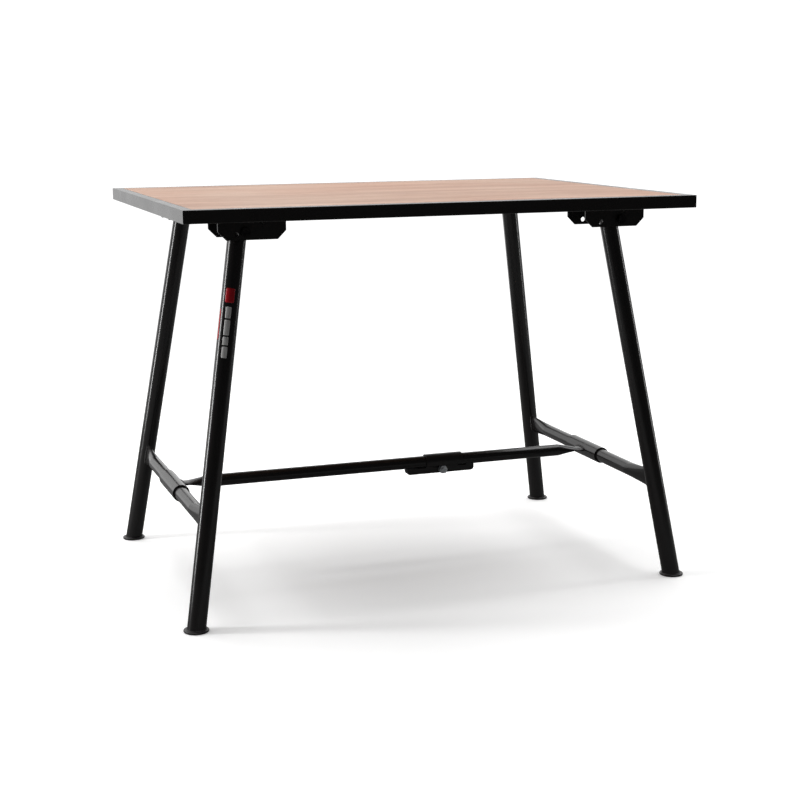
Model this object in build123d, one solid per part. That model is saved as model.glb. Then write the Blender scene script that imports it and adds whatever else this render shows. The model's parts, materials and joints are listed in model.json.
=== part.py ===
from build123d import *
import math
import os

# Worktop: a board dropped into a mitred frame of box-section rails with a ledge.
BENCH_LENGTH = 1080.0
BENCH_DEPTH = 800.0
BENCH_HEIGHT = 832.0
RAIL_HEIGHT = 26.0
RAIL_WIDTH = 22.0
RAIL_WALL = 2.0
RAIL_EDGE_RADIUS = 1.5
LEDGE_WIDTH = 18.0
LEDGE_THICKNESS = 3.0
BOARD_THICKNESS = 21.0
RAIL_BOTTOM = BENCH_HEIGHT - RAIL_HEIGHT
BOARD_BOTTOM = BENCH_HEIGHT - BOARD_THICKNESS
LEDGE_BOTTOM = BOARD_BOTTOM - LEDGE_THICKNESS

# Leg brackets: folded channels screwed under the board.
BRACKET_INNER_X = 322.0
BRACKET_OUTER_X = 458.0
BRACKET_INNER_Y = 238.0
BRACKET_OUTER_Y = 325.0
BRACKET_SHEET = 3.0
BRACKET_BOTTOM = 766.0
BRACKET_CHAMFER = 17.0
BRACKET_BEND_RADIUS = 2.0
BRACKET_HOLES = ((36.0, 776.5, 10.0), (88.0, 796.0, 6.0))

# Leg pivots: a bolt along Y through each bracket.
PIVOT_X = 404.0
PIVOT_Z = 782.0
BOLT_DIAMETER = 10.0
BOLT_CLEARANCE = 0.6
HEX_ACROSS_FLATS = 17.0
HEAD_HEIGHT = 6.4
NUT_HEIGHT = 8.0
THREAD_PROUD = 3.0
WASHER_DIAMETER = 20.0
WASHER_THICKNESS = 2.0
BUSH_DIAMETER = 18.0
BUSH_END_GAP = 0.5

# Legs: round tube, splayed in length and in depth.
LEG_DIAMETER = 38.0
LEG_WALL = 2.0
LEG_TOP_Y = 263.8
LEG_TOP_PROUD = 14.0
FOOT_X = 530.9
FOOT_Y = 354.5
FOOT_DIAMETER = 51.0
FOOT_THICKNESS = 4.0
FOOT_EDGE_RADIUS = 1.2
FOOT_PLUG_HEIGHT = 16.0

# Crossbars: round tube with pressed flat ends welded to the legs.
CROSSBAR_Z = 210.4
CROSSBAR_DIAMETER = 30.0
CROSSBAR_WALL = 2.0
CROSSBAR_ROUND_Y = 215.0
CROSSBAR_FLAT_Y = 300.0
CROSSBAR_FLAT_HEIGHT = 44.0
CROSSBAR_FLAT_WIDTH = 10.0
CROSSBAR_VENT_Y = 150.0
CROSSBAR_VENT_DIAMETER = 4.0
WELD_GAP = 0.05

# Brace: two tubes on sleeves that turn on the crossbars.
BRACE_Z = 213.7
BRACE_DIAMETER = 27.0
BRACE_WALL = 2.0
SLEEVE_DIAMETER = 37.0
SLEEVE_BORE = 30.8
SLEEVE_LENGTH = 150.0
BRACE_ROUND_X = 420.0
BRACE_FLAT_X = 465.0
BRACE_FLAT_WIDTH = 39.0
BRACE_FLAT_HEIGHT = 8.0
LEFT_TUBE_END_X = 104.0
RIGHT_TUBE_END_X = 144.0

# Centre joint: a saddle over the tubes and two long plates under them, all riding
# on the right-hand tube.
JOINT_BOLT_X = 124.0
JOINT_BOLT_Z = 195.5
SADDLE_START_X = 84.0
SADDLE_END_X = 172.0
JOINT_SHEET = 3.0
JOINT_SIDE_GAP = 0.4
PLATE_START_X = 38.0
PLATE_END_X = 202.0
PLATE_BOTTOM = 187.0
PLATE_TOP = 203.5
PLATE_END_RADIUS = 8.0
SADDLE_BOTTOM = 205.5
SLOT_HEIGHT = 3.5
SLOT_SPANS = ((57.0, 85.0), (102.0, 115.0), (163.0, 183.0))
RIVET_X = 156.0
RIVET_DIAMETER = 8.0
RIVET_EDGE = 0.8
LUG_THICKNESS = 10.0
LUG_START_X = 70.0
LUG_END_X = 137.0
LUG_BOTTOM = 187.5
LUG_TOP = 206.0
LUG_BOLT_CLEARANCE = 0.8

# Wood screws.
BRACKET_SCREW_X = (345.0, 437.0)
BRACKET_SCREW_Y = (254.0, 309.0)
BRACKET_SCREW_DIAMETER = 5.0
BRACKET_SCREW_HEAD = 9.0
BOARD_SCREW_DIAMETER = 4.0
BOARD_SCREW_HEAD = 8.0
SCREW_HEAD_HEIGHT = 2.6
SCREW_DEPTH = 15.0
SCREW_CLEARANCE = 0.4
RECESS_WIDTH = 4.4
RECESS_SLOT = 1.0
RECESS_DEPTH = 1.3
FRONT_SCREW_X = (-420.0, -140.0, 140.0, 420.0)
SIDE_SCREW_Y = (-200.0, 200.0)
SCREW_INSET = RAIL_WIDTH + LEDGE_WIDTH / 2

SIDES = {"left": -1, "right": 1}
ROWS = {"front": -1, "back": 1}


def box_between(low, high):
    """Solid block between two opposite corners."""
    size = [high[i] - low[i] for i in range(3)]
    centre = [(high[i] + low[i]) / 2 for i in range(3)]
    return Pos(*centre) * Box(*size)


def bar_between(start, end, diameter):
    """Round bar from one point to another."""
    axis = Vector(*end) - Vector(*start)
    plane = Plane(origin=start, z_dir=axis)
    align = (Align.CENTER, Align.CENTER, Align.MIN)
    return plane * Cylinder(diameter / 2, axis.length, align=align)


def y_bar(x, z, start_y, end_y, diameter):
    """Round bar along Y."""
    return bar_between((x, start_y, z), (x, end_y, z), diameter)


def y_hexagon(x, z, start_y, end_y):
    """Hexagonal prism along Y with its flats front and back."""
    low = min(start_y, end_y)
    plane = Plane(origin=(x, low, z), x_dir=(1, 0, 0), z_dir=(0, 1, 0))
    outline = RegularPolygon(HEX_ACROSS_FLATS / math.sqrt(3), 6)
    prism = extrude(plane * outline, abs(end_y - start_y))
    corner = HEX_ACROSS_FLATS / math.sqrt(3) * 2 - 0.8
    rounded = y_bar(x, z, low, low + abs(end_y - start_y), corner)
    return prism & rounded


def xz_plate(points, start_y, end_y):
    """Plate cut to an outline in X and Z, running along Y."""
    plane = Plane(origin=(0, start_y, 0), x_dir=(1, 0, 0), z_dir=(0, -1, 0))
    outline = make_face(Polyline(*points, close=True))
    return extrude(plane * outline, start_y - end_y)


def mirrored(part, side, row):
    """Part built at +X +Y, moved to its own corner."""
    if side < 0:
        part = mirror(part, about=Plane.YZ)
    if row < 0:
        part = mirror(part, about=Plane.XZ)
    return part


def save(part, name):
    """One STEP file for one named node."""
    export_step(part, os.path.join("parts", name + ".step"))


def leg_point(z):
    """Point on the right rear leg's centre line at a height."""
    share = z / PIVOT_Z
    x = FOOT_X + (PIVOT_X - FOOT_X) * share
    y = FOOT_Y + (LEG_TOP_Y - FOOT_Y) * share
    return (x, y, z)


def leg_bar(diameter, low_z):
    """Solid bar on the right rear leg's centre line up to its top end."""
    start = Vector(*leg_point(low_z))
    pivot = Vector(*leg_point(PIVOT_Z))
    direction = (pivot - start).normalized()
    top = pivot + direction * LEG_TOP_PROUD
    return bar_between(tuple(start), tuple(top), diameter)


def board_screw_points():
    """Plan positions of the screws that hold the board in its frame."""
    far_y = BENCH_DEPTH / 2 - SCREW_INSET
    far_x = BENCH_LENGTH / 2 - SCREW_INSET
    points = [(x, y) for x in FRONT_SCREW_X for y in (-far_y, far_y)]
    points += [(x, y) for x in (-far_x, far_x) for y in SIDE_SCREW_Y]
    return points


def bracket_screw_points():
    """Plan positions of the screws that hold the four leg brackets."""
    return [
        (x * side, y * row)
        for side in (-1, 1)
        for row in (-1, 1)
        for x in BRACKET_SCREW_X
        for y in BRACKET_SCREW_Y
    ]


def plywood_board():
    """Board with the pilot holes of every screw that enters it."""
    half_x = BENCH_LENGTH / 2 - RAIL_WIDTH
    half_y = BENCH_DEPTH / 2 - RAIL_WIDTH
    board = box_between((-half_x, -half_y, BOARD_BOTTOM), (half_x, half_y, BENCH_HEIGHT))
    top = BOARD_BOTTOM + SCREW_DEPTH
    holes = []
    for x, y in board_screw_points():
        holes.append(bar_between((x, y, RAIL_BOTTOM), (x, y, top), BOARD_SCREW_DIAMETER))
    for x, y in bracket_screw_points():
        holes.append(bar_between((x, y, RAIL_BOTTOM), (x, y, top), BRACKET_SCREW_DIAMETER))
    return board - holes


def rail(length, depth):
    """Box-section rail along X on the +Y side, with its ledge, mitred at both ends."""
    half = length / 2
    outer = depth / 2
    wall = outer - RAIL_WIDTH
    inner = wall - LEDGE_WIDTH
    tube = box_between((-half, wall, RAIL_BOTTOM), (half, outer, BENCH_HEIGHT))
    tube = fillet(tube.edges().filter_by(Axis.X), RAIL_EDGE_RADIUS)
    bore_low = (-half - 1, wall + RAIL_WALL, RAIL_BOTTOM + RAIL_WALL)
    bore_high = (half + 1, outer - RAIL_WALL, BENCH_HEIGHT - RAIL_WALL)
    tube -= box_between(bore_low, bore_high)
    tube += box_between((-half, inner, LEDGE_BOTTOM), (half, wall, BOARD_BOTTOM))
    width = outer - inner
    plan = [(-half, outer), (half, outer), (half - width, inner), (-half + width, inner)]
    floor = Plane.XY.offset(RAIL_BOTTOM)
    mitre = extrude(floor * make_face(Polyline(*plan, close=True)), RAIL_HEIGHT)
    return tube & mitre


def frame_rails():
    """The four rails by name, drilled for the board screws."""
    long_rail = rail(BENCH_LENGTH, BENCH_DEPTH)
    short_rail = Rot(0, 0, -90) * rail(BENCH_DEPTH, BENCH_LENGTH)
    rails = {
        "frame_rail_front": mirror(long_rail, about=Plane.XZ),
        "frame_rail_back": long_rail,
        "frame_rail_left": mirror(short_rail, about=Plane.YZ),
        "frame_rail_right": short_rail,
    }
    size = BOARD_SCREW_DIAMETER + SCREW_CLEARANCE
    holes = [bar_between((x, y, LEDGE_BOTTOM - 1), (x, y, BOARD_BOTTOM + 1), size) for x, y in board_screw_points()]
    return {name: part - holes for name, part in rails.items()}


def screw(x, y, seat_z, diameter, head):
    """Pan-head wood screw driven upwards, with a cross recess in its head."""
    body = bar_between((x, y, seat_z), (x, y, BOARD_BOTTOM + SCREW_DEPTH), diameter)
    cap = bar_between((x, y, seat_z - SCREW_HEAD_HEIGHT), (x, y, seat_z), head)
    cap = fillet(cap.edges().group_by(Axis.Z)[0], 1.2)
    low = seat_z - SCREW_HEAD_HEIGHT
    middle = Pos(x, y, low + RECESS_DEPTH / 2)
    cross = middle * Box(RECESS_WIDTH, RECESS_SLOT, RECESS_DEPTH)
    cross += middle * Box(RECESS_SLOT, RECESS_WIDTH, RECESS_DEPTH)
    return body + cap - cross


def board_screws():
    """Screws through the rail ledges."""
    parts = [screw(x, y, LEDGE_BOTTOM, BOARD_SCREW_DIAMETER, BOARD_SCREW_HEAD) for x, y in board_screw_points()]
    return Compound(children=parts)


def bracket_screws():
    """Screws through the bracket webs."""
    seat = BOARD_BOTTOM - BRACKET_SHEET
    parts = [screw(x, y, seat, BRACKET_SCREW_DIAMETER, BRACKET_SCREW_HEAD) for x, y in bracket_screw_points()]
    return Compound(children=parts)


def leg_bracket(side):
    """Rear bracket of one side, built at +X: a web under the board and two chamfered cheeks."""
    low_x = BRACKET_INNER_X
    high_x = BRACKET_OUTER_X
    chamfer_z = BRACKET_BOTTOM + BRACKET_CHAMFER
    points = [
        (low_x, BOARD_BOTTOM),
        (high_x, BOARD_BOTTOM),
        (high_x, chamfer_z),
        (high_x - BRACKET_CHAMFER, BRACKET_BOTTOM),
        (low_x + BRACKET_CHAMFER, BRACKET_BOTTOM),
        (low_x, chamfer_z),
    ]
    block = xz_plate(points, BRACKET_INNER_Y, BRACKET_OUTER_Y)
    bends = block.edges().filter_by(Axis.X).group_by(Axis.Z)[-1]
    block = fillet(bends, BRACKET_BEND_RADIUS)
    inner_low = (low_x - 1, BRACKET_INNER_Y + BRACKET_SHEET, BRACKET_BOTTOM - 1)
    inner_high = (high_x + 1, BRACKET_OUTER_Y - BRACKET_SHEET, BOARD_BOTTOM - BRACKET_SHEET)
    bracket = block - box_between(inner_low, inner_high)
    bolt_hole = BOLT_DIAMETER + BOLT_CLEARANCE / 2
    bracket -= y_bar(PIVOT_X, PIVOT_Z, BRACKET_INNER_Y - 1, BRACKET_OUTER_Y + 1, bolt_hole)
    for offset, z, hole in BRACKET_HOLES:
        x = low_x + offset if side > 0 else high_x - offset
        bracket -= y_bar(x, z, BRACKET_INNER_Y - 1, BRACKET_OUTER_Y + 1, hole)
    size = BRACKET_SCREW_DIAMETER + SCREW_CLEARANCE
    for x in BRACKET_SCREW_X:
        for y in BRACKET_SCREW_Y:
            bracket -= bar_between((x, y, BOARD_BOTTOM - 5), (x, y, BOARD_BOTTOM + 1), size)
    return bracket


def corners(part):
    """Four copies of a part built at +X +Y, one for each corner."""
    return Compound(children=[mirrored(part, side, row) for side in (-1, 1) for row in (-1, 1)])


def pivot_bolt():
    """Right rear pivot bolt with its head outside the bracket."""
    seat = BRACKET_OUTER_Y + WASHER_THICKNESS
    end = BRACKET_INNER_Y - NUT_HEIGHT - THREAD_PROUD
    bolt = y_hexagon(PIVOT_X, PIVOT_Z, seat, seat + HEAD_HEIGHT)
    return bolt + y_bar(PIVOT_X, PIVOT_Z, end, seat, BOLT_DIAMETER)


def pivot_nut():
    """Right rear nut, inside the bracket."""
    low = BRACKET_INNER_Y - NUT_HEIGHT
    nut = y_hexagon(PIVOT_X, PIVOT_Z, low, BRACKET_INNER_Y)
    return nut - y_bar(PIVOT_X, PIVOT_Z, low - 1, BRACKET_INNER_Y + 1, BOLT_DIAMETER)


def washer(x, z, start_y, end_y):
    """Flat washer around a bolt along Y."""
    ring = y_bar(x, z, start_y, end_y, WASHER_DIAMETER)
    return ring - y_bar(x, z, start_y - 1, end_y + 1, BOLT_DIAMETER)


def leg_tube():
    """Right rear leg: open tube with a cross hole for its pivot bush."""
    tube = leg_bar(LEG_DIAMETER, -LEG_DIAMETER) - leg_bar(LEG_DIAMETER - 2 * LEG_WALL, -LEG_DIAMETER)
    reach = 2 * LEG_DIAMETER
    ground_low = (FOOT_X - reach, FOOT_Y - reach, -reach)
    tube -= box_between(ground_low, (FOOT_X + reach, FOOT_Y + reach, FOOT_THICKNESS))
    return tube - y_bar(PIVOT_X, PIVOT_Z, LEG_TOP_Y - 60, LEG_TOP_Y + 60, BUSH_DIAMETER)


def pivot_bush():
    """Bush welded through the leg top that turns on the pivot bolt."""
    start = BRACKET_INNER_Y + BRACKET_SHEET + BUSH_END_GAP
    end = BRACKET_OUTER_Y - BRACKET_SHEET - BUSH_END_GAP
    bush = y_bar(PIVOT_X, PIVOT_Z, start, end, BUSH_DIAMETER)
    return bush - y_bar(PIVOT_X, PIVOT_Z, start - 1, end + 1, BOLT_DIAMETER + BOLT_CLEARANCE)


def foot():
    """Round base plate with a short spigot inside the leg."""
    plate = bar_between((FOOT_X, FOOT_Y, 0), (FOOT_X, FOOT_Y, FOOT_THICKNESS), FOOT_DIAMETER)
    plate = fillet(plate.edges().filter_by(GeomType.CIRCLE), FOOT_EDGE_RADIUS)
    start = leg_point(FOOT_THICKNESS / 2)
    end = leg_point(FOOT_THICKNESS + FOOT_PLUG_HEIGHT)
    spigot = bar_between(start, end, LEG_DIAMETER - 2 * LEG_WALL - WELD_GAP)
    ground = box_between((FOOT_X - 60, FOOT_Y - 60, -60), (FOOT_X + 60, FOOT_Y + 60, FOOT_THICKNESS / 2))
    return plate + (spigot - ground)


def crossbar_half():
    """Half a crossbar on +Y: round in the middle, pressed flat at the leg."""
    centre_x = leg_point(CROSSBAR_Z)[0]
    lean = math.atan2(FOOT_X - PIVOT_X, PIVOT_Z)
    along_leg = (-math.sin(lean), 0, math.cos(lean))
    round_plane = Plane(origin=(centre_x, CROSSBAR_ROUND_Y, CROSSBAR_Z), x_dir=along_leg, z_dir=(0, 1, 0))
    flat_plane = Plane(origin=(centre_x, CROSSBAR_FLAT_Y, CROSSBAR_Z), x_dir=along_leg, z_dir=(0, 1, 0))
    flat = Ellipse(CROSSBAR_FLAT_HEIGHT / 2, CROSSBAR_FLAT_WIDTH / 2)
    middle = y_bar(centre_x, CROSSBAR_Z, 0, CROSSBAR_ROUND_Y, CROSSBAR_DIAMETER)
    flare = loft([round_plane * Circle(CROSSBAR_DIAMETER / 2), flat_plane * flat])
    reach = leg_point(CROSSBAR_Z)[1] - CROSSBAR_FLAT_Y
    return middle + flare + extrude(flat_plane * flat, reach)


def crossbar():
    """Right crossbar with a round bore and a vent, cut to both legs."""
    centre_x = leg_point(CROSSBAR_Z)[0]
    half = crossbar_half()
    bar = half + mirror(half, about=Plane.XZ)
    bore = CROSSBAR_DIAMETER - 2 * CROSSBAR_WALL
    bar -= y_bar(centre_x, CROSSBAR_Z, -CROSSBAR_ROUND_Y, CROSSBAR_ROUND_Y, bore)
    vent_low = (centre_x, CROSSBAR_VENT_Y, CROSSBAR_Z - CROSSBAR_DIAMETER)
    bar -= bar_between(vent_low, (centre_x, CROSSBAR_VENT_Y, CROSSBAR_Z), CROSSBAR_VENT_DIAMETER)
    cut = leg_bar(LEG_DIAMETER + 2 * WELD_GAP, 0)
    return bar - cut - mirror(cut, about=Plane.XZ)


def sleeve():
    """Right sleeve that turns on the crossbar."""
    x = leg_point(CROSSBAR_Z)[0]
    half = SLEEVE_LENGTH / 2
    tube = y_bar(x, CROSSBAR_Z, -half, half, SLEEVE_DIAMETER)
    return tube - y_bar(x, CROSSBAR_Z, -half - 1, half + 1, SLEEVE_BORE)


def brace_tube(inner_x):
    """Right brace tube: round, then pressed to a level blade at the sleeve."""
    sleeve_x = leg_point(CROSSBAR_Z)[0]
    round_plane = Plane(origin=(BRACE_ROUND_X, 0, BRACE_Z), x_dir=(0, 1, 0), z_dir=(1, 0, 0))
    flat_plane = Plane(origin=(BRACE_FLAT_X, 0, BRACE_Z), x_dir=(0, 1, 0), z_dir=(1, 0, 0))
    blade = Ellipse(BRACE_FLAT_WIDTH / 2, BRACE_FLAT_HEIGHT / 2)
    tube = bar_between((inner_x, 0, BRACE_Z), (BRACE_ROUND_X, 0, BRACE_Z), BRACE_DIAMETER)
    bore = BRACE_DIAMETER - 2 * BRACE_WALL
    tube -= bar_between((inner_x - 1, 0, BRACE_Z), (BRACE_ROUND_X - 5, 0, BRACE_Z), bore)
    tube += loft([round_plane * Circle(BRACE_DIAMETER / 2), flat_plane * blade])
    tube += extrude(flat_plane * blade, sleeve_x - BRACE_FLAT_X)
    half = SLEEVE_LENGTH / 2
    return tube - y_bar(sleeve_x, CROSSBAR_Z, -half, half, SLEEVE_DIAMETER)


def right_brace_tube():
    """Right brace tube drilled for the saddle rivet."""
    tube = brace_tube(RIGHT_TUBE_END_X)
    return tube - y_bar(RIVET_X, BRACE_Z, -BRACE_DIAMETER, BRACE_DIAMETER, RIVET_DIAMETER)


def left_brace_tube():
    """Left brace tube, longer than the right one."""
    return mirror(brace_tube(-LEFT_TUBE_END_X), about=Plane.YZ)


def left_brace_lug():
    """Lug under the left tube that hangs on the joint bolt."""
    half = LUG_THICKNESS / 2
    lug = box_between((LUG_START_X, -half, LUG_BOTTOM), (LUG_END_X, half, LUG_TOP))
    lug = fillet(lug.edges().filter_by(Axis.Y).group_by(Axis.X)[-1], PLATE_END_RADIUS)
    lug -= bar_between((LUG_START_X - 1, 0, BRACE_Z), (LEFT_TUBE_END_X + 0.3, 0, BRACE_Z), BRACE_DIAMETER)
    return lug - y_bar(JOINT_BOLT_X, JOINT_BOLT_Z, -half - 1, half + 1, BOLT_DIAMETER + LUG_BOLT_CLEARANCE)


def plate_faces():
    """Inside and outside faces of the joint plates, measured from the middle."""
    inside = LUG_THICKNESS / 2 + JOINT_SIDE_GAP
    return inside, inside + JOINT_SHEET


def joint_saddle():
    """Saddle folded over both tube ends."""
    inside = BRACE_DIAMETER / 2 + JOINT_SIDE_GAP
    outside = inside + JOINT_SHEET
    start = SADDLE_START_X
    end = SADDLE_END_X
    saddle = bar_between((start, 0, BRACE_Z), (end, 0, BRACE_Z), 2 * outside)
    saddle &= box_between((start, -outside, BRACE_Z), (end, outside, BRACE_Z + outside))
    saddle += box_between((start, -outside, SADDLE_BOTTOM), (end, outside, BRACE_Z))
    saddle -= bar_between((start - 1, 0, BRACE_Z), (end + 1, 0, BRACE_Z), 2 * inside)
    saddle -= box_between((start - 1, -inside, SADDLE_BOTTOM - 1), (end + 1, inside, BRACE_Z))
    return saddle - y_bar(RIVET_X, BRACE_Z, -outside - 1, outside + 1, RIVET_DIAMETER)


def joint_plates():
    """Two long plates under the tubes, notched along the top between their welds."""
    inside, outside = plate_faces()
    plates = box_between((PLATE_START_X, -outside, PLATE_BOTTOM), (PLATE_END_X, outside, PLATE_TOP))
    plates = fillet(plates.edges().filter_by(Axis.Y).group_by(Axis.Z)[0], PLATE_END_RADIUS)
    start = PLATE_START_X - 1
    end = PLATE_END_X + 1
    plates -= box_between((start, -inside, PLATE_BOTTOM - 1), (end, inside, PLATE_TOP + 1))
    clear = BRACE_DIAMETER + 2 * JOINT_SIDE_GAP
    plates -= bar_between((start, 0, BRACE_Z), (RIGHT_TUBE_END_X, 0, BRACE_Z), clear)
    plates -= bar_between((RIGHT_TUBE_END_X, 0, BRACE_Z), (end, 0, BRACE_Z), BRACE_DIAMETER)
    for low, high in SLOT_SPANS:
        plates -= box_between((low, -outside - 1, PLATE_TOP - SLOT_HEIGHT), (high, outside + 1, PLATE_TOP + 1))
    hole = BOLT_DIAMETER + BOLT_CLEARANCE / 2
    return plates - y_bar(JOINT_BOLT_X, JOINT_BOLT_Z, -outside - 1, outside + 1, hole)


def saddle_rivet():
    """Flush rivet that holds the saddle to the right tube."""
    outside = BRACE_DIAMETER / 2 + JOINT_SIDE_GAP + JOINT_SHEET
    rivet = y_bar(RIVET_X, BRACE_Z, -outside, outside, RIVET_DIAMETER)
    return fillet(rivet.edges().filter_by(GeomType.CIRCLE), RIVET_EDGE)


def joint_bolt():
    """Joint bolt with its head at the back."""
    outside = plate_faces()[1]
    seat = outside + WASHER_THICKNESS
    end = -(seat + NUT_HEIGHT + THREAD_PROUD)
    bolt = y_hexagon(JOINT_BOLT_X, JOINT_BOLT_Z, seat, seat + HEAD_HEIGHT)
    return bolt + y_bar(JOINT_BOLT_X, JOINT_BOLT_Z, end, seat, BOLT_DIAMETER)


def joint_nut():
    """Joint nut at the front."""
    seat = -(plate_faces()[1] + WASHER_THICKNESS)
    nut = y_hexagon(JOINT_BOLT_X, JOINT_BOLT_Z, seat - NUT_HEIGHT, seat)
    return nut - y_bar(JOINT_BOLT_X, JOINT_BOLT_Z, seat - NUT_HEIGHT - 1, seat + 1, BOLT_DIAMETER)


def joint_washers():
    """One washer under the head and one under the nut."""
    outside = plate_faces()[1]
    back = washer(JOINT_BOLT_X, JOINT_BOLT_Z, outside, outside + WASHER_THICKNESS)
    front = washer(JOINT_BOLT_X, JOINT_BOLT_Z, -outside - WASHER_THICKNESS, -outside)
    return Compound(children=[back, front])


def save_worktop():
    """Everything that stays still with the board."""
    save(plywood_board(), "plywood_board")
    for name, part in frame_rails().items():
        save(part, name)
    for side_name, side in SIDES.items():
        bracket = leg_bracket(side)
        for row_name, row in ROWS.items():
            save(mirrored(bracket, side, row), "leg_bracket_" + row_name + "_" + side_name)
    save(board_screws(), "board_screws")
    save(bracket_screws(), "bracket_screws")
    save(corners(pivot_bolt()), "pivot_bolts")
    save(corners(pivot_nut()), "pivot_nuts")
    pivot_washer = washer(PIVOT_X, PIVOT_Z, BRACKET_OUTER_Y, BRACKET_OUTER_Y + WASHER_THICKNESS)
    save(corners(pivot_washer), "pivot_washers")


def save_legs():
    """Both leg pairs."""
    for side_name, side in SIDES.items():
        save(mirrored(crossbar(), side, 1), side_name + "_crossbar")
        for row_name, row in ROWS.items():
            save(mirrored(leg_tube(), side, row), side_name + "_leg_" + row_name)
            save(mirrored(foot(), side, row), side_name + "_foot_" + row_name)
            save(mirrored(pivot_bush(), side, row), side_name + "_bush_" + row_name)


def save_brace():
    """Both halves of the brace and its centre joint."""
    save(mirrored(sleeve(), -1, 1), "left_sleeve")
    save(left_brace_tube(), "left_brace_tube")
    save(left_brace_lug(), "left_brace_lug")
    save(sleeve(), "right_sleeve")
    save(right_brace_tube(), "right_brace_tube")
    save(joint_saddle(), "joint_saddle")
    save(joint_plates(), "joint_plates")
    save(saddle_rivet(), "saddle_rivet")
    save(joint_bolt(), "joint_bolt")
    save(joint_nut(), "joint_nut")
    save(joint_washers(), "joint_washers")


os.makedirs("parts", exist_ok=True)
save_worktop()
save_legs()
save_brace()
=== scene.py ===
import json
import math

import bpy
from mathutils import Matrix, Vector


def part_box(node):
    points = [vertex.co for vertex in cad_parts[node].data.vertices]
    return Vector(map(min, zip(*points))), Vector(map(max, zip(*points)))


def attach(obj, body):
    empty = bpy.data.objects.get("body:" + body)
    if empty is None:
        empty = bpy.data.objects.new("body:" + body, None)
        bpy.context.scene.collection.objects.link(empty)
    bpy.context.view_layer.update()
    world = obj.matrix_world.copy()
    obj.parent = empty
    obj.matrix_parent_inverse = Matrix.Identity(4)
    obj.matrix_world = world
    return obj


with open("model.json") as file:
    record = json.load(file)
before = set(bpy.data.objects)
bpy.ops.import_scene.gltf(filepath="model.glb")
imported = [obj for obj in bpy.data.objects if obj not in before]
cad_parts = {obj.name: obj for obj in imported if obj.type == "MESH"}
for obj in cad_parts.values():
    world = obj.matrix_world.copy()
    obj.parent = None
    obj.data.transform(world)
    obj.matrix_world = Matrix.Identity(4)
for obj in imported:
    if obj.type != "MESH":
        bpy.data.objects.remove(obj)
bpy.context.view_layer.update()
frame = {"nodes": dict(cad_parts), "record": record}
nodes = frame["nodes"]
slot_of = {part["node"]: part["material_slot"] for part in frame["record"]["subparts"]}


# Worktop board: birch plywood, rotary cut, sanded and sealed with a thin oil.
# The face veneer gives long, soft, pinkish and straw streaks along the bench and
# a fine pore grain that just breaks the sheen.
def linear(hex_colour):
    """sRGB hex to a linear colour with full alpha."""
    channels = [int(hex_colour[i:i + 2], 16) / 255 for i in (1, 3, 5)]
    values = [c / 12.92 if c <= 0.04045 else ((c + 0.055) / 1.055) ** 2.4 for c in channels]
    return (*values, 1.0)


def add_node(tree, kind, settings=None, values=None, links=None):
    """A shader node with its settings, socket values and incoming links."""
    node = tree.nodes.new(kind)
    for name, value in (settings or {}).items():
        setattr(node, name, value)
    for name, value in (values or {}).items():
        node.inputs[name].default_value = value
    for name, socket in (links or {}).items():
        tree.links.new(socket, node.inputs[name])
    return node


def new_material(name):
    """An empty material, its tree and its surface shader."""
    material = bpy.data.materials.new(name)
    material.use_nodes = True
    tree = material.node_tree
    return material, tree, tree.nodes["Principled BSDF"]


def set_stops(ramp, stops):
    """Position and colour stops of a colour ramp."""
    elements = ramp.color_ramp.elements
    while len(elements) < len(stops):
        elements.new(0.5)
    for element, (position, colour) in zip(elements, stops):
        element.position = position
        element.color = colour


def dress(slot_name, material):
    """Gives a material to every carried-over node of one record slot."""
    for name, obj in nodes.items():
        if slot_of[name] == slot_name:
            for slot in obj.material_slots:
                slot.material = material


# Lengths and widths of the veneer's figure, pores and tone, in metres.
FIGURE_LENGTH = 0.60
FIGURE_WIDTH = 0.075
PORE_LENGTH = 0.030
PORE_WIDTH = 0.0025
TONE_LENGTH = 0.45
PORE_DEPTH = 0.0004
TONE_SHARE = 0.8
PORE_SHARE = 0.6

plywood, tree, shader = new_material("birch_plywood_oiled")
place = add_node(tree, "ShaderNodeTexCoord").outputs["Object"]
figure_map = add_node(
    tree, "ShaderNodeMapping",
    values={"Scale": (1 / FIGURE_LENGTH, 1 / FIGURE_WIDTH, 1 / FIGURE_WIDTH)},
    links={"Vector": place},
)
figure = add_node(
    tree, "ShaderNodeTexNoise",
    values={"Scale": 1.0, "Detail": 5.0, "Roughness": 0.55, "Distortion": 0.8},
    links={"Vector": figure_map.outputs["Vector"]},
)
pore_map = add_node(
    tree, "ShaderNodeMapping",
    values={"Scale": (1 / PORE_LENGTH, 1 / PORE_WIDTH, 1 / PORE_WIDTH)},
    links={"Vector": place},
)
pores = add_node(
    tree, "ShaderNodeTexNoise",
    values={"Scale": 1.0, "Detail": 3.0, "Roughness": 0.6},
    links={"Vector": pore_map.outputs["Vector"]},
)
tone = add_node(
    tree, "ShaderNodeTexNoise",
    values={"Scale": 1 / TONE_LENGTH, "Detail": 2.0}, links={"Vector": place},
)
figure_colour = add_node(tree, "ShaderNodeValToRGB", links={"Fac": figure.outputs["Fac"]})
set_stops(
    figure_colour,
    [(0.28, linear("#A08271")), (0.48, linear("#B0927F")), (0.72, linear("#C2A592"))],
)
tone_colour = add_node(tree, "ShaderNodeValToRGB", links={"Fac": tone.outputs["Fac"]})
set_stops(tone_colour, [(0.35, linear("#F0DCD2")), (0.65, linear("#FFFFFF"))])
pore_colour = add_node(tree, "ShaderNodeValToRGB", links={"Fac": pores.outputs["Fac"]})
set_stops(pore_colour, [(0.36, linear("#D2BDAF")), (0.50, linear("#FFFFFF"))])
toned = add_node(
    tree, "ShaderNodeMix", settings={"data_type": "RGBA", "blend_type": "MULTIPLY"},
)
toned.inputs[0].default_value = TONE_SHARE
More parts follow.
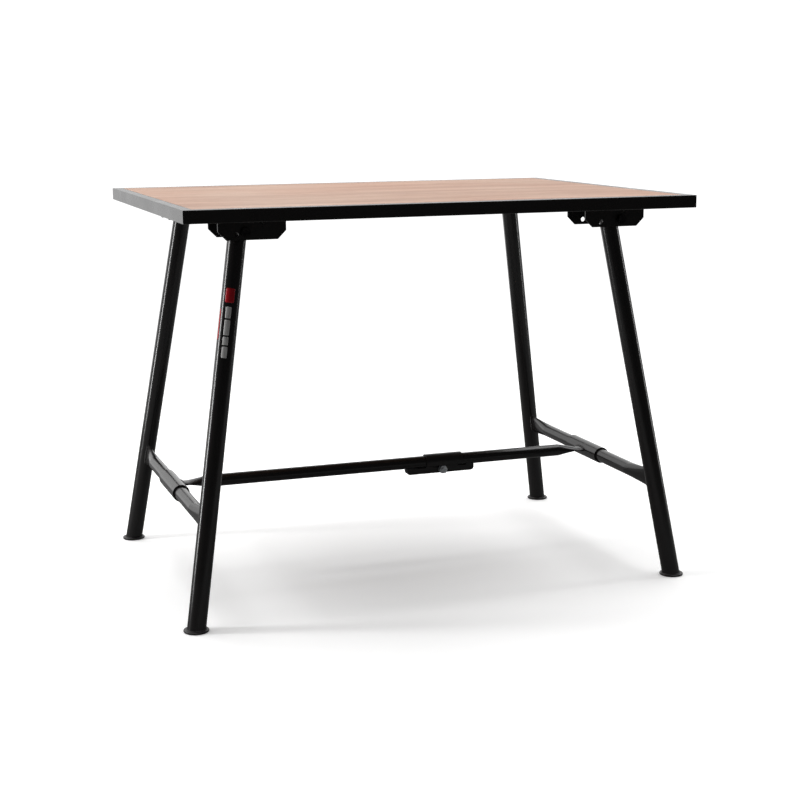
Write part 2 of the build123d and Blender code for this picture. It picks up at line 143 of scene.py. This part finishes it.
tree.links.new(figure_colour.outputs["Color"], toned.inputs[6])
tree.links.new(tone_colour.outputs["Color"], toned.inputs[7])
grained = add_node(
    tree, "ShaderNodeMix", settings={"data_type": "RGBA", "blend_type": "MULTIPLY"},
)
grained.inputs[0].default_value = PORE_SHARE
tree.links.new(toned.outputs[2], grained.inputs[6])
tree.links.new(pore_colour.outputs["Color"], grained.inputs[7])
tree.links.new(grained.outputs[2], shader.inputs["Base Color"])
sheen_range = add_node(
    tree, "ShaderNodeMapRange", values={"To Min": 0.40, "To Max": 0.58},
    links={"Value": pores.outputs["Fac"]},
)
tree.links.new(sheen_range.outputs["Result"], shader.inputs["Roughness"])
grain_bump = add_node(
    tree, "ShaderNodeBump", values={"Strength": 0.12, "Distance": PORE_DEPTH},
    links={"Height": pores.outputs["Fac"]},
)
tree.links.new(grain_bump.outputs["Normal"], shader.inputs["Normal"])
shader.inputs["Specular IOR Level"].default_value = 0.15
dress("birch_plywood", plywood)


# Frame rails, leg brackets, tubes and feet: mild steel, cut, pressed and welded,
# then powder coated gloss black and stoved. The coat levels into a faint orange
# peel, lies a little thicker and duller in places, and picks up fine dust.
PEEL_SIZE = 0.0045
PEEL_HEIGHT = 0.0002
WAVE_SIZE = 0.085
WAVE_HEIGHT = 0.0006
DUST_SIZE = 0.012
DUST_COLOUR = "#1E1C1B"
DULL_SPREAD = 0.14
COAT_IOR = 1.5


def powder_coat(name, colour, gloss, peel):
    """Stoved powder coat. The peel is drawn three times life size, so that it shows."""
    material, tree, shader = new_material(name)
    place = add_node(tree, "ShaderNodeTexCoord").outputs["Object"]
    fine = add_node(
        tree, "ShaderNodeTexNoise",
        values={"Scale": 1 / PEEL_SIZE, "Detail": 2.0}, links={"Vector": place},
    )
    wave = add_node(
        tree, "ShaderNodeTexNoise",
        values={"Scale": 1 / WAVE_SIZE, "Detail": 3.0}, links={"Vector": place},
    )
    dust = add_node(
        tree, "ShaderNodeTexNoise",
        values={"Scale": 1 / DUST_SIZE, "Detail": 6.0, "Roughness": 0.7},
        links={"Vector": place},
    )
    dusty = add_node(tree, "ShaderNodeValToRGB", links={"Fac": dust.outputs["Fac"]})
    set_stops(dusty, [(0.56, linear(colour)), (0.80, linear(DUST_COLOUR))])
    tree.links.new(dusty.outputs["Color"], shader.inputs["Base Color"])
    dull = add_node(
        tree, "ShaderNodeMapRange", values={"To Min": gloss, "To Max": gloss + DULL_SPREAD},
        links={"Value": wave.outputs["Fac"]},
    )
    tree.links.new(dull.outputs["Result"], shader.inputs["Roughness"])
    wavy = add_node(
        tree, "ShaderNodeBump", values={"Strength": 0.25, "Distance": WAVE_HEIGHT},
        links={"Height": wave.outputs["Fac"]},
    )
    peeled = add_node(
        tree, "ShaderNodeBump", values={"Strength": peel, "Distance": PEEL_HEIGHT},
        links={"Height": fine.outputs["Fac"], "Normal": wavy.outputs["Normal"]},
    )
    tree.links.new(peeled.outputs["Normal"], shader.inputs["Normal"])
    shader.inputs["IOR"].default_value = COAT_IOR
    return material


rail_coat = powder_coat("black_powder_coat_rail", "#151212", 0.20, 0.10)
bracket_coat = powder_coat("black_powder_coat_bracket", "#151212", 0.26, 0.16)
tube_coat = powder_coat("black_powder_coat_tube", "#1A1818", 0.14, 0.08)
foot_coat = powder_coat("black_powder_coat_foot", "#171313", 0.30, 0.18)
dress("black_coated_rail", rail_coat)
dress("black_coated_bracket", bracket_coat)
dress("black_coated_tube", tube_coat)
dress("black_coated_foot", foot_coat)


# Fixings: cold formed steel. The joint bolt, its nut and washers are bright zinc
# plated, a pale metal with a cloudy bloom and fine marks. The pivot bolts and the
# screws are black oxide, and the pivot bushes are bare drawn steel.
CLOUD_SIZE = 0.004
MARK_SIZE = 0.0006
MARK_DEPTH = 0.0001


def plated_metal(name, dark, light, rough_low, rough_high):
    """Plated or bare metal with cloudy colour and fine marks."""
    material, tree, shader = new_material(name)
    place = add_node(tree, "ShaderNodeTexCoord").outputs["Object"]
    cloud = add_node(
        tree, "ShaderNodeTexNoise",
        values={"Scale": 1 / CLOUD_SIZE, "Detail": 4.0, "Roughness": 0.6},
        links={"Vector": place},
    )
    marks = add_node(
        tree, "ShaderNodeTexNoise",
        values={"Scale": 1 / MARK_SIZE, "Detail": 2.0}, links={"Vector": place},
    )
    colour = add_node(tree, "ShaderNodeValToRGB", links={"Fac": cloud.outputs["Fac"]})
    set_stops(colour, [(0.32, linear(dark)), (0.68, linear(light))])
    tree.links.new(colour.outputs["Color"], shader.inputs["Base Color"])
    rough = add_node(
        tree, "ShaderNodeMapRange", values={"To Min": rough_low, "To Max": rough_high},
        links={"Value": cloud.outputs["Fac"]},
    )
    tree.links.new(rough.outputs["Result"], shader.inputs["Roughness"])
    bump = add_node(
        tree, "ShaderNodeBump", values={"Strength": 0.15, "Distance": MARK_DEPTH},
        links={"Height": marks.outputs["Fac"]},
    )
    tree.links.new(bump.outputs["Normal"], shader.inputs["Normal"])
    shader.inputs["Metallic"].default_value = 1.0
    return material


zinc_plate = plated_metal("bright_zinc_plate", "#A9ADB2", "#DDE0E2", 0.24, 0.42)
oxide_black = plated_metal("black_oxide_steel", "#1C1B1C", "#3A393A", 0.38, 0.55)
bare_steel = plated_metal("drawn_steel_oiled", "#8B8A88", "#B4B3B1", 0.28, 0.45)
dress("zinc_plated_steel", zinc_plate)
dress("black_oxide_screw", oxide_black)
dress("bare_steel", bare_steel)


# Weld beads: MIG runs where feet, crossbars and bushes meet the legs, and where
# the brace tubes meet their sleeves, coated with the parts. Each is a low ridge
# with the scalloped ripples that the torch leaves, about two millimetres apart.
LEG_RADIUS = 0.019
# How far from the bench's middle plane a leg's centre line passes its pivot.
LEG_TOP_Y = 0.2638
FOOT_THICKNESS = 0.004
CROSSBAR_FLAT = (0.022, 0.005)
BLADE_HALF = (0.0195, 0.004)
BEAD_RADIUS = 0.0024
FOOT_BEAD_RADIUS = BEAD_RADIUS * 0.6
BUSH_BEAD_RADIUS = BEAD_RADIUS * 0.45
BEAD_SIDES = 10
RIPPLE_PITCH = 0.0022
RIPPLE_DEPTH = 0.16
POINTS_PER_RIPPLE = 4
END_TAPER = 0.35
RING_POINTS = 72
BUSH_RING_POINTS = 48


def mesh_object(name, points, faces, material):
    """A smooth-shaded mesh object."""
    mesh = bpy.data.meshes.new(name)
    mesh.from_pydata([tuple(p) for p in points], [], faces)
    mesh.validate()
    mesh.materials.append(material)
    for polygon in mesh.polygons:
        polygon.use_smooth = True
    obj = bpy.data.objects.new(name, mesh)
    bpy.context.collection.objects.link(obj)
    return obj


def resample(path, closed, step):
    """The same path with its points evenly spaced."""
    ends = path + [path[0]] if closed else path
    lengths = [0.0]
    for a, b in zip(ends, ends[1:]):
        lengths.append(lengths[-1] + (b - a).length)
    count = max(8, round(lengths[-1] / step))
    result = []
    index = 0
    for i in range(count if closed else count + 1):
        target = lengths[-1] * i / count
        while index < len(ends) - 2 and lengths[index + 1] < target:
            index += 1
        span = lengths[index + 1] - lengths[index]
        share = (target - lengths[index]) / span if span else 0.0
        result.append(ends[index].lerp(ends[index + 1], share))
    return result


def ridge(name, path, radius, closed, ripple, material):
    """A round ridge swept along a path, rippled along its length."""
    line = resample(path, closed, RIPPLE_PITCH / POINTS_PER_RIPPLE)
    count = len(line)
    points = []
    faces = []
    # No bead runs along this direction, so its sections never turn over.
    up = Vector((0.13, 0.21, 0.97)).normalized()
    for i, centre in enumerate(line):
        before = line[i - 1] if closed or i else centre
        after = line[(i + 1) % count] if closed or i < count - 1 else centre
        along = (after - before).normalized()
        side = along.cross(up).normalized()
        rise = side.cross(along)
        size = radius * (1 + ripple * math.sin(math.tau * i / POINTS_PER_RIPPLE))
        if not closed and i in (0, count - 1):
            size *= END_TAPER
        for k in range(BEAD_SIDES):
            turn = math.tau * k / BEAD_SIDES
            points.append(centre + side * math.cos(turn) * size + rise * math.sin(turn) * size)
    for i in range(count if closed else count - 1):
        for k in range(BEAD_SIDES):
            a = i * BEAD_SIDES + k
            b = i * BEAD_SIDES + (k + 1) % BEAD_SIDES
            c = (i + 1) % count * BEAD_SIDES + (k + 1) % BEAD_SIDES
            d = (i + 1) % count * BEAD_SIDES + k
            faces.append((a, b, c, d))
    if not closed:
        faces.append(tuple(reversed(range(BEAD_SIDES))))
        faces.append(tuple(range((count - 1) * BEAD_SIDES, count * BEAD_SIDES)))
    return mesh_object(name, points, faces, material)


def centre_of(node):
    """Middle of a node's box."""
    low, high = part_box(node)
    return (low + high) / 2


def leg_line(side_name, row_name):
    """Foot point and unit direction of a leg's centre line."""
    foot = centre_of(f"{side_name}_foot_{row_name}")
    foot.z = 0.0
    pivot = centre_of(f"{side_name}_bush_{row_name}")
    pivot.y = math.copysign(LEG_TOP_Y, pivot.y)
    return foot, (pivot - foot).normalized()


def full_turn(count):
    """Evenly spaced angles round a full turn."""
    return [math.tau * i / count for i in range(count)]


def reach_to_leg(offset, out, direction):
    """Distance along out from a point inside a leg to the leg's skin."""
    flat = offset - direction * offset.dot(direction)
    step = out - direction * out.dot(direction)
    a = step.dot(step)
    b = 2 * flat.dot(step)
    c = flat.dot(flat) - LEG_RADIUS ** 2
    return (-b + math.sqrt(b * b - 4 * a * c)) / (2 * a)


for side_name in ("left", "right"):
    crossbar = centre_of(f"{side_name}_crossbar")
    for row_name in ("front", "back"):
        foot, direction = leg_line(side_name, row_name)
        across = direction.cross(Vector((0, 0, 1))).normalized()
        lean = across.cross(direction)
        loop = []
        for turn in full_turn(RING_POINTS):
            start = foot + (across * math.cos(turn) + lean * math.sin(turn)) * LEG_RADIUS
            loop.append(start + direction * ((FOOT_THICKNESS - start.z) / direction.z))
        name = f"weld_foot_{side_name}_{row_name}"
        bead = ridge(name, loop, FOOT_BEAD_RADIUS, True, RIPPLE_DEPTH, foot_coat)
        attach(bead, f"{side_name}_legs")

        share = (crossbar.z - foot.z) / direction.z
        on_leg = foot + direction * share
        slope = Vector((direction.x, 0, direction.z)).normalized()
        thin = Vector((slope.z, 0, -slope.x))
        inward = Vector((0, -math.copysign(1, foot.y), 0))
        loop = []
        for turn in full_turn(RING_POINTS):
            wide = slope * math.cos(turn) * CROSSBAR_FLAT[0]
            offset = wide + thin * math.sin(turn) * CROSSBAR_FLAT[1]
            loop.append(on_leg + offset + inward * reach_to_leg(offset, inward, direction))
        name = f"weld_crossbar_{side_name}_{row_name}"
        bead = ridge(name, loop, BEAD_RADIUS, True, RIPPLE_DEPTH, tube_coat)
        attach(bead, f"{side_name}_legs")

        pivot = centre_of(f"{side_name}_bush_{row_name}")
        low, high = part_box(f"{side_name}_bush_{row_name}")
        bush_radius = (high.x - low.x) / 2
        middle = pivot.copy()
        middle.y = math.copysign(LEG_TOP_Y, pivot.y)
        for face_name, face in (("inner", 1), ("outer", -1)):
            out = inward * face
            loop = []
            for turn in full_turn(BUSH_RING_POINTS):
                offset = Vector((math.cos(turn), 0, math.sin(turn))) * bush_radius
                loop.append(middle + offset + out * reach_to_leg(offset, out, direction))
            name = f"weld_bush_{face_name}_{side_name}_{row_name}"
            bead = ridge(name, loop, BUSH_BEAD_RADIUS, True, RIPPLE_DEPTH, tube_coat)
            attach(bead, f"{side_name}_legs")

    sleeve_low, sleeve_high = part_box(f"{side_name}_sleeve")
    sleeve = (sleeve_low + sleeve_high) / 2
    sleeve_radius = (sleeve_high.x - sleeve_low.x) / 2
    blade_z = centre_of(f"{side_name}_brace_tube").z
    inward_x = -math.copysign(1, sleeve.x)
    loop = []
    for turn in full_turn(RING_POINTS):
        y = BLADE_HALF[0] * math.cos(turn)
        z = blade_z + BLADE_HALF[1] * math.sin(turn)
        x = sleeve.x + inward_x * math.sqrt(sleeve_radius ** 2 - (z - sleeve.z) ** 2)
        loop.append(Vector((x, y, z)))
    bead = ridge(f"weld_blade_{side_name}", loop, BEAD_RADIUS, True, RIPPLE_DEPTH, tube_coat)
    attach(bead, f"{side_name}_brace")


# Lug weld: the lug hangs edge-on under the left brace tube and is held by one
# straight MIG run down each side.
LUG_BEAD_RADIUS = BEAD_RADIUS * 0.8
lug_low, lug_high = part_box("left_brace_lug")
tube_low, tube_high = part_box("left_brace_tube")
tube_centre_z = (tube_low.z + tube_high.z) / 2
tube_radius = (tube_high.z - tube_low.z) / 2
for side_name, side in (("front", -1), ("back", 1)):
    y = side * (lug_high.y - lug_low.y) / 2
    z = tube_centre_z - math.sqrt(tube_radius ** 2 - y ** 2)
    run = [Vector((lug_low.x + BEAD_RADIUS, y, z)), Vector((tube_high.x - BEAD_RADIUS, y, z))]
    bead = ridge(f"weld_lug_{side_name}", run, LUG_BEAD_RADIUS, False, RIPPLE_DEPTH, tube_coat)
    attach(bead, "left_brace")


# Bolt threads: rolled M10 coarse thread on the ends that stand out of the nuts.
# The ridge has the finish of its bolt.
THREAD_PITCH = 0.0015
THREAD_TURNS = 1.8
THREAD_RIDGE = 0.00045
THREAD_RADIUS = 0.0049
THREAD_STEPS = 90
NUT_HEIGHT = 0.008
THREAD_PROUD = 0.003


def thread(name, axis, end_y, into_y, body, material):
    """A helical ridge that starts at a bolt's end face."""
    path = []
    for i in range(THREAD_STEPS + 1):
        turn = math.tau * THREAD_TURNS * i / THREAD_STEPS
        y = end_y + into_y * (THREAD_RIDGE + THREAD_PITCH * THREAD_TURNS * i / THREAD_STEPS)
        x = axis.x + THREAD_RADIUS * math.cos(turn)
        z = axis.z + THREAD_RADIUS * math.sin(turn)
        path.append(Vector((x, y, z)))
    piece = ridge(name, path, THREAD_RIDGE, False, 0.0, material)
    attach(piece, body)


for side_name in ("left", "right"):
    for row_name in ("front", "back"):
        bush = centre_of(f"{side_name}_bush_{row_name}")
        row = math.copysign(1, bush.y)
        bracket_low, bracket_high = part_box(f"leg_bracket_{row_name}_{side_name}")
        inner = min(abs(bracket_low.y), abs(bracket_high.y))
        end = row * (inner - NUT_HEIGHT - THREAD_PROUD)
        name = f"thread_pivot_{side_name}_{row_name}"
        thread(name, bush, end, row, "worktop", oxide_black)
joint_nut = centre_of("joint_nut")
joint_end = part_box("joint_bolt")[0].y
thread("thread_joint", joint_nut, joint_end, 1, "right_brace", zinc_plate)


# Leg label: thin printed vinyl wrapped on the front left leg, with its printed
# face outward. It is a plain red block over four plain white bars, with a narrow
# red stripe round to one side.
LABEL_LIFT = 0.00012
LABEL_THICKNESS = 0.00010
LABEL_TURN = math.radians(-19)
LABEL_ROWS = 24
LABEL_COLUMNS = 12
MOTTLE_SIZE = 0.0015
MOTTLE_HEIGHT = 0.0001


def printed_vinyl(name, low, high):
    """Printed vinyl film: even ink with a faint screen mottle and a soft gloss."""
    material, tree, shader = new_material(name)
    place = add_node(tree, "ShaderNodeTexCoord").outputs["Object"]
    mottle = add_node(
        tree, "ShaderNodeTexNoise",
        values={"Scale": 1 / MOTTLE_SIZE, "Detail": 3.0}, links={"Vector": place},
    )
    ink = add_node(tree, "ShaderNodeValToRGB", links={"Fac": mottle.outputs["Fac"]})
    set_stops(ink, [(0.35, linear(low)), (0.65, linear(high))])
    tree.links.new(ink.outputs["Color"], shader.inputs["Base Color"])
    rough = add_node(
        tree, "ShaderNodeMapRange", values={"To Min": 0.28, "To Max": 0.42},
        links={"Value": mottle.outputs["Fac"]},
    )
    tree.links.new(rough.outputs["Result"], shader.inputs["Roughness"])
    bump = add_node(
        tree, "ShaderNodeBump", values={"Strength": 0.06, "Distance": MOTTLE_HEIGHT},
        links={"Height": mottle.outputs["Fac"]},
    )
    tree.links.new(bump.outputs["Normal"], shader.inputs["Normal"])
    return material


red_vinyl = printed_vinyl("printed_vinyl_red", "#C4081A", "#D40C20")
white_vinyl = printed_vinyl("printed_vinyl_white", "#E6E6E4", "#F2F2F0")
label_foot, label_direction = leg_line("left", "front")
facing = Vector((math.sin(LABEL_TURN), -math.cos(LABEL_TURN), 0))
facing = (facing - label_direction * facing.dot(label_direction)).normalized()
label_across = label_direction.cross(facing)


def label_patch(name, low_z, high_z, centre_angle, width, corner, material):
    """A rounded rectangle of film wrapped on the leg."""
    start = low_z / label_direction.z
    length = (high_z - low_z) / label_direction.z
    points = []
    for lift in (LABEL_LIFT, LABEL_LIFT + LABEL_THICKNESS):
        for i in range(LABEL_ROWS + 1):
            along = length * i / LABEL_ROWS
            edge = max(0.0, min(along, length - along))
            pull = 0.0
            if edge < corner:
                pull = corner - math.sqrt(corner ** 2 - (corner - edge) ** 2)
            half = width / 2 - pull
            for k in range(LABEL_COLUMNS + 1):
                angle = centre_angle + (2 * k / LABEL_COLUMNS - 1) * half / LEG_RADIUS
                out = facing * math.cos(angle) + label_across * math.sin(angle)
                on_axis = label_foot + label_direction * (start + along)
                points.append(on_axis + out * (LEG_RADIUS + lift))
    width_count = LABEL_COLUMNS + 1
    layer = (LABEL_ROWS + 1) * width_count
    faces = []
    for i in range(LABEL_ROWS):
        for k in range(LABEL_COLUMNS):
            a = i * width_count + k
            b = a + 1
            c = b + width_count
            d = a + width_count
            faces.append((d, c, b, a))
            faces.append((a + layer, b + layer, c + layer, d + layer))
    rim = list(range(width_count))
    rim += [i * width_count + LABEL_COLUMNS for i in range(1, LABEL_ROWS + 1)]
    rim += [LABEL_ROWS * width_count + k for k in range(LABEL_COLUMNS - 1, -1, -1)]
    rim += [i * width_count for i in range(LABEL_ROWS - 1, 0, -1)]
    for a, b in zip(rim, rim[1:] + rim[:1]):
        faces.append((a, b, b + layer, a + layer))
    piece = mesh_object(name, points, faces, material)
    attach(piece, "left_legs")


BAR_GAP = 0.003
bar_top = 0.632
bar_lengths = (0.022, 0.030, 0.016, 0.022)
label_patch(
    "label_block", low_z=0.640, high_z=0.668, centre_angle=0.0,
    width=0.018, corner=0.003, material=red_vinyl,
)
for index, length in enumerate(bar_lengths):
    label_patch(
        f"label_bar_{index}", low_z=bar_top - length, high_z=bar_top, centre_angle=0.0,
        width=0.011, corner=0.001, material=white_vinyl,
    )
    bar_top -= length + BAR_GAP
label_patch(
    "label_stripe", low_z=0.567, high_z=0.628, centre_angle=-1.02,
    width=0.004, corner=0.0015, material=red_vinyl,
)


# Studio: a floor of white paper and a room that brightens to one side, both seen
# as white but dim in the gloss coat, so that black keeps its depth. A large soft
# box hangs overhead and a tall strip on each side draws the thin bright edges.
FLOOR_HALF_WIDTH = 9.0
FLOOR_FRONT = -1.9
FLOOR_BACK = 2.4
FLOOR_DROP = -0.0005
FIBRE_SIZE = 0.025

floor_paint, tree, shader = new_material("studio_floor_paper")
place = add_node(tree, "ShaderNodeTexCoord").outputs["Object"]
fibre = add_node(
    tree, "ShaderNodeTexNoise",
    values={"Scale": 1 / FIBRE_SIZE, "Detail": 4.0}, links={"Vector": place},
)
paper = add_node(tree, "ShaderNodeValToRGB", links={"Fac": fibre.outputs["Fac"]})
set_stops(paper, [(0.3, linear("#F9F9F9")), (0.7, linear("#FDFDFD"))])
tree.links.new(paper.outputs["Color"], shader.inputs["Base Color"])
shader.inputs["Roughness"].default_value = 0.9
shader.inputs["Specular IOR Level"].default_value = 0.0
shader.inputs["Emission Color"].default_value = (1.0, 1.0, 1.0, 1.0)
shader.inputs["Emission Strength"].default_value = 0.2
dim = add_node(tree, "ShaderNodeBsdfDiffuse", values={"Color": linear("#7C7C7C")})
camera_ray = add_node(tree, "ShaderNodeLightPath").outputs["Is Camera Ray"]
sheet_mix = add_node(tree, "ShaderNodeMixShader", links={"Fac": camera_ray})
tree.links.new(dim.outputs["BSDF"], sheet_mix.inputs[1])
tree.links.new(shader.outputs["BSDF"], sheet_mix.inputs[2])
tree.links.new(sheet_mix.outputs["Shader"], tree.nodes["Material Output"].inputs["Surface"])
corners = [
    (-FLOOR_HALF_WIDTH, FLOOR_FRONT, FLOOR_DROP),
    (FLOOR_HALF_WIDTH, FLOOR_FRONT, FLOOR_DROP),
    (FLOOR_HALF_WIDTH, FLOOR_BACK, FLOOR_DROP),
    (-FLOOR_HALF_WIDTH, FLOOR_BACK, FLOOR_DROP),
]
floor = mesh_object("studio_floor", corners, [(0, 1, 2, 3)], floor_paint)

world = bpy.data.worlds.new("studio_room")
bpy.context.scene.world = world
world.use_nodes = True
tree = world.node_tree
background = tree.nodes["Background"]
room_direction = add_node(tree, "ShaderNodeTexCoord").outputs["Generated"]
axes = add_node(tree, "ShaderNodeSeparateXYZ", links={"Vector": room_direction})
back_wall = add_node(
    tree, "ShaderNodeMapRange",
    values={"From Min": 0.35, "From Max": 0.85, "To Min": 0.05, "To Max": 1.15},
    links={"Value": axes.outputs["Y"]},
)
seen = add_node(tree, "ShaderNodeLightPath").outputs["Is Camera Ray"]
level = add_node(tree, "ShaderNodeMath", settings={"operation": "MAXIMUM"})
tree.links.new(back_wall.outputs["Result"], level.inputs[0])
tree.links.new(seen, level.inputs[1])
tree.links.new(level.outputs["Value"], background.inputs["Color"])
background.inputs["Strength"].default_value = 1.0
bpy.context.scene.view_settings.view_transform = "Standard"


def soft_box(name, place, target, width, height, power):
    """A rectangular area light aimed at a point."""
    light = bpy.data.lights.new(name, "AREA")
    light.shape = "RECTANGLE"
    light.size = width
    light.size_y = height
    light.energy = power
    obj = bpy.data.objects.new(name, light)
    obj.location = place
    obj.rotation_euler = (Vector(target) - Vector(place)).to_track_quat("-Z", "Y").to_euler()
    bpy.context.collection.objects.link(obj)


soft_box(
    "overhead", place=(0.3, 1.0, 6.0), target=(0, 0.1, 0),
    width=7.5, height=5.6, power=470,
)
soft_box(
    "left_strip", place=(-3.0, 0.6, 1.1), target=(0, 0, 0.5),
    width=0.4, height=2.6, power=60,
)
soft_box(
    "right_strip", place=(3.2, -0.2, 1.1), target=(0, 0, 0.5),
    width=0.3, height=2.6, power=16,
)


# Camera: a 69 mm lens on a full-frame sensor, a little above the top and off the
# left front corner, aimed slightly down with a trace of roll.
CAMERA_PLACE = (-1.116865, -3.236098, 1.033094)
CAMERA_YAW = -0.3392
CAMERA_PITCH = 0.1931
CAMERA_ROLL = 0.0065
LENS_MM = 69.45
SENSOR_MM = 36.0
forward = Vector((
    -math.sin(CAMERA_YAW) * math.cos(CAMERA_PITCH),
    math.cos(CAMERA_YAW) * math.cos(CAMERA_PITCH),
    -math.sin(CAMERA_PITCH),
))
level_right = Vector((math.cos(CAMERA_YAW), math.sin(CAMERA_YAW), 0))
level_down = forward.cross(level_right)
right = level_right * math.cos(CAMERA_ROLL) + level_down * math.sin(CAMERA_ROLL)
down = level_down * math.cos(CAMERA_ROLL) - level_right * math.sin(CAMERA_ROLL)
camera_data = bpy.data.cameras.new("camera")
camera_data.lens = LENS_MM
camera_data.sensor_width = SENSOR_MM
camera = bpy.data.objects.new("camera", camera_data)
facing_axes = Matrix((right, -down, -forward)).transposed().to_4x4()
camera.matrix_world = Matrix.Translation(CAMERA_PLACE) @ facing_axes
bpy.context.collection.objects.link(camera)
bpy.context.scene.camera = camera
